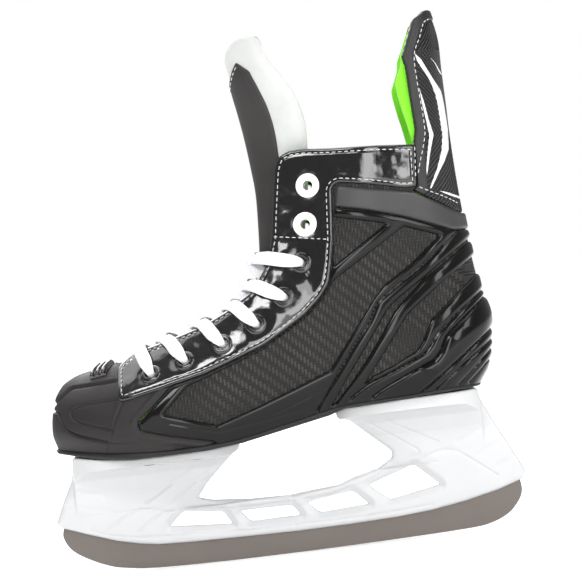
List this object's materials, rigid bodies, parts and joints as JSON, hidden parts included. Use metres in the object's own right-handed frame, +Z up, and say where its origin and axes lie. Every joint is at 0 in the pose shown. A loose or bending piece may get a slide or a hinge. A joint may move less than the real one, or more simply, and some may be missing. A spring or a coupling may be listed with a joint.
{
  "type": "ice hockey skate",
  "caption": "Junior ice hockey skate: laced black boot with hinged tendon guard and tongue on a white holder with a steel runner.",
  "frame": {"origin": "centre of the object's outline on the ice, at the lowest point of the runner", "axes": "+X towards the toe, +Y towards the outer (lateral) side of a left foot, +Z up from the runner to the collar"},
  "size_m": [0.2706, 0.0955, 0.2994],
  "materials": {
    "runner_steel": "satin, ground along its length",
    "fastener_steel": "plain",
    "rivet_steel": "dark plated",
    "holder_white": "satin white",
    "sole_black": "semi-matte",
    "board": "fibre board",
    "counter_board": "moulded stiffener",
    "footbed_foam": "moulded foam",
    "carbon_weave": "twill weave under clear coat",
    "cage_gloss": "gloss black moulding",
    "patent_leather": "patent, mirror-like",
    "eyelet_black": "gloss black",
    "eyelet_white": "white enamel",
    "band_rubber": "fine grain",
    "liner_fabric": "brushed microfibre over foam",
    "cap_plastic": "fine matte grain",
    "guard_plastic": "fine ribs with grey stripes",
    "green_lining": "lime green brushed fabric",
    "tongue_cover": "black synthetic with white stitching",
    "tongue_felt": "white wool felt",
    "lace_white": "flat woven cotton",
    "lace_tip": "clear film"
  },
  "bodies": {
    "boot": {"runner": "runner_steel", "bolt_front": "fastener_steel", "nut_front": "fastener_steel", "bolt_rear": "fastener_steel", "nut_rear": "fastener_steel", "blade_holder": "holder_white", "outsole": "sole_black", "insole_board": "board", "rivet_front_1_left": "rivet_steel", "rivet_front_2_left": "rivet_steel", "rivet_front_3_left": "rivet_steel", "rivet_rear_1_left": "rivet_steel", "rivet_rear_2_left": "rivet_steel", "quarter_left": "carbon_weave", "side_cage_left": "cage_gloss", "facing_left": "patent_leather", "eyelet_black_1_left": "eyelet_black", "eyelet_black_2_left": "eyelet_black", "eyelet_black_3_left": "eyelet_black", "eyelet_black_4_left": "eyelet_black", "eyelet_black_5_left": "eyelet_black", "eyelet_black_6_left": "eyelet_black", "eyelet_white_1_left": "eyelet_white", "eyelet_white_2_left": "eyelet_white", "lace_end_left": "lace_white", "rivet_front_1_right": "rivet_steel", "rivet_front_2_right": "rivet_steel", "rivet_front_3_right": "rivet_steel", "rivet_rear_1_right": "rivet_steel", "rivet_rear_2_right": "rivet_steel", "quarter_right": "carbon_weave", "side_cage_right": "cage_gloss", "facing_right": "patent_leather", "eyelet_black_1_right": "eyelet_black", "eyelet_black_2_right": "eyelet_black", "eyelet_black_3_right": "eyelet_black", "eyelet_black_4_right": "eyelet_black", "eyelet_black_5_right": "eyelet_black", "eyelet_black_6_right": "eyelet_black", "eyelet_white_1_right": "eyelet_white", "eyelet_white_2_right": "eyelet_white", "lace_end_right": "lace_white", "ankle_band": "band_rubber", "heel_counter": "counter_board", "liner": "liner_fabric", "toe_cap": "cap_plastic", "toe_bridge": "cage_gloss", "guard_base": "guard_plastic", "tongue_cover_lower": "tongue_cover", "tongue_felt_lower": "tongue_felt", "lace": "lace_white"},
    "tendon_guard": {"tendon_guard": "guard_plastic", "guard_lining": "green_lining"},
    "tongue_top": {"tongue_cover_upper": "tongue_cover", "tongue_felt_upper": "tongue_felt"},
    "footbed": {"footbed": "footbed_foam", "lace_coil": "lace_white", "lace_tip_left": "lace_tip", "lace_tip_right": "lace_tip"}
  },
  "joints": [
    {"name": "tendon_guard_flex", "type": "hinge", "parent": "boot", "child": "tendon_guard", "pos_m": [-0.1178, 0, 0.226], "axis": [0, -1, 0], "range_deg": [0, 20], "stiffness_Nm_per_rad": 1.2},
    {"name": "tongue_flex", "type": "hinge", "parent": "boot", "child": "tongue_top", "pos_m": [0.003, 0, 0.23], "axis": [0, 1, 0], "range_deg": [0, 32], "stiffness_Nm_per_rad": 0.5},
    {"name": "footbed_lift", "type": "hinge", "parent": "boot", "child": "footbed", "pos_m": [0.116, 0, 0.0775], "axis": [0, 1, 0], "range_deg": [0, 9], "deforming": ["lace_end_left", "lace_end_right"]}
  ]
}
